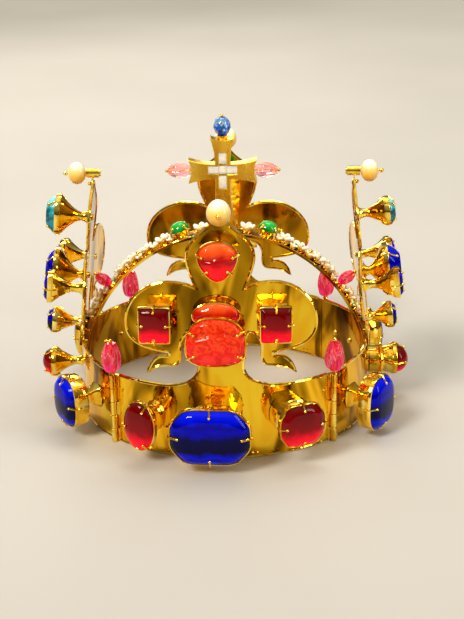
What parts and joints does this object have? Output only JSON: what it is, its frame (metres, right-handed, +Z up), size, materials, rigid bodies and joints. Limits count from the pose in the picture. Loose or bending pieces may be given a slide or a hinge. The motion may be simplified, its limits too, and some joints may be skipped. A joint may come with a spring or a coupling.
{
  "type": "regalia crown",
  "caption": "Gold regalia crown with hinged lily-shaped plates, raised gemstones, removable hinge pins, pearl finials and crossing arches that carry a small cross.",
  "frame": {"origin": "centre of the band's bottom edge, on the surface that the crown stands on", "axes": "+Z up towards the cross, -Y towards the front lily, +X to the wearer's left, seen at the right from in front"},
  "size_m": [0.244, 0.246, 0.1935],
  "materials": {
    "gold_sheet": "mirror polished gold plate on sheet",
    "gold_work": "polished gold, hand worked",
    "red_spinel": "polished deep red stone",
    "pink_spinel": "polished pink stone bead",
    "sapphire": "polished blue stone",
    "aquamarine": "polished pale blue-green stone",
    "emerald": "polished green stone",
    "crystal": "step cut clear stone",
    "pearl": "pearl lustre"
  },
  "bodies": {
    "front_panel": {"front_plate": "gold_sheet", "front_knuckles": "gold_work", "front_collets": "gold_work", "front_spinels": "red_spinel", "front_sapphires": "sapphire", "front_rivets": "gold_work", "front_pearl_mount": "gold_work", "front_pearl": "pearl", "arch_side_to_side": "gold_work", "arch_front_to_back": "gold_work", "arch_boss": "gold_work", "arch_collets": "gold_work", "arch_pearls": "pearl", "arch_emeralds": "emerald", "arch_spinels": "pink_spinel", "cross_body": "gold_work", "cross_crystals": "crystal", "cross_beads": "pink_spinel", "cross_bead_pins": "gold_work", "cross_collet": "gold_work", "cross_sapphire": "sapphire"},
    "right_panel": {"right_plate": "gold_sheet", "right_knuckles": "gold_work", "right_collets": "gold_work", "right_spinels": "red_spinel", "right_sapphires": "sapphire", "right_aquamarine": "aquamarine", "right_rivets": "gold_work", "right_pearl_mount": "gold_work", "right_pearl": "pearl"},
    "back_panel": {"back_plate": "gold_sheet", "back_knuckles": "gold_work", "back_collets": "gold_work", "back_spinels": "red_spinel", "back_sapphires": "sapphire", "back_rivets": "gold_work", "back_pearl_mount": "gold_work", "back_pearl": "pearl"},
    "left_panel": {"left_plate": "gold_sheet", "left_knuckles": "gold_work", "left_collets": "gold_work", "left_spinels": "red_spinel", "left_sapphires": "sapphire", "left_aquamarine": "aquamarine", "left_rivets": "gold_work", "left_pearl_mount": "gold_work", "left_pearl": "pearl"},
    "front_right_pin": {"front_right_hinge_pin": "gold_work", "front_right_pin_bead": "pink_spinel"},
    "back_right_pin": {"back_right_hinge_pin": "gold_work", "back_right_pin_bead": "pink_spinel"},
    "back_left_pin": {"back_left_hinge_pin": "gold_work", "back_left_pin_bead": "pink_spinel"},
    "front_left_pin": {"front_left_hinge_pin": "gold_work", "front_left_pin_bead": "pink_spinel"}
  },
  "joints": [
    {"name": "right_panel_swing", "type": "hinge", "parent": "front_panel", "child": "right_panel", "pos_m": [0.06887, -0.06887, 0], "axis": [0, 0, -1], "range_deg": [0, 60]},
    {"name": "back_panel_swing", "type": "hinge", "parent": "right_panel", "child": "back_panel", "pos_m": [0.06887, 0.06887, 0], "axis": [0, 0, -1], "range_deg": [0, 60]},
    {"name": "left_panel_swing", "type": "hinge", "parent": "front_panel", "child": "left_panel", "pos_m": [-0.06887, -0.06887, 0], "axis": [0, 0, 1], "range_deg": [0, 60]},
    {"name": "front_right_pin_lift", "type": "slide", "parent": "front_panel", "child": "front_right_pin", "axis": [0, 0, 1], "range_m": [0, 0.05]},
    {"name": "back_right_pin_lift", "type": "slide", "parent": "right_panel", "child": "back_right_pin", "axis": [0, 0, 1], "range_m": [0, 0.05]},
    {"name": "back_left_pin_lift", "type": "slide", "parent": "left_panel", "child": "back_left_pin", "axis": [0, 0, 1], "range_m": [0, 0.05]},
    {"name": "front_left_pin_lift", "type": "slide", "parent": "front_panel", "child": "front_left_pin", "axis": [0, 0, 1], "range_m": [0, 0.05]}
  ]
}
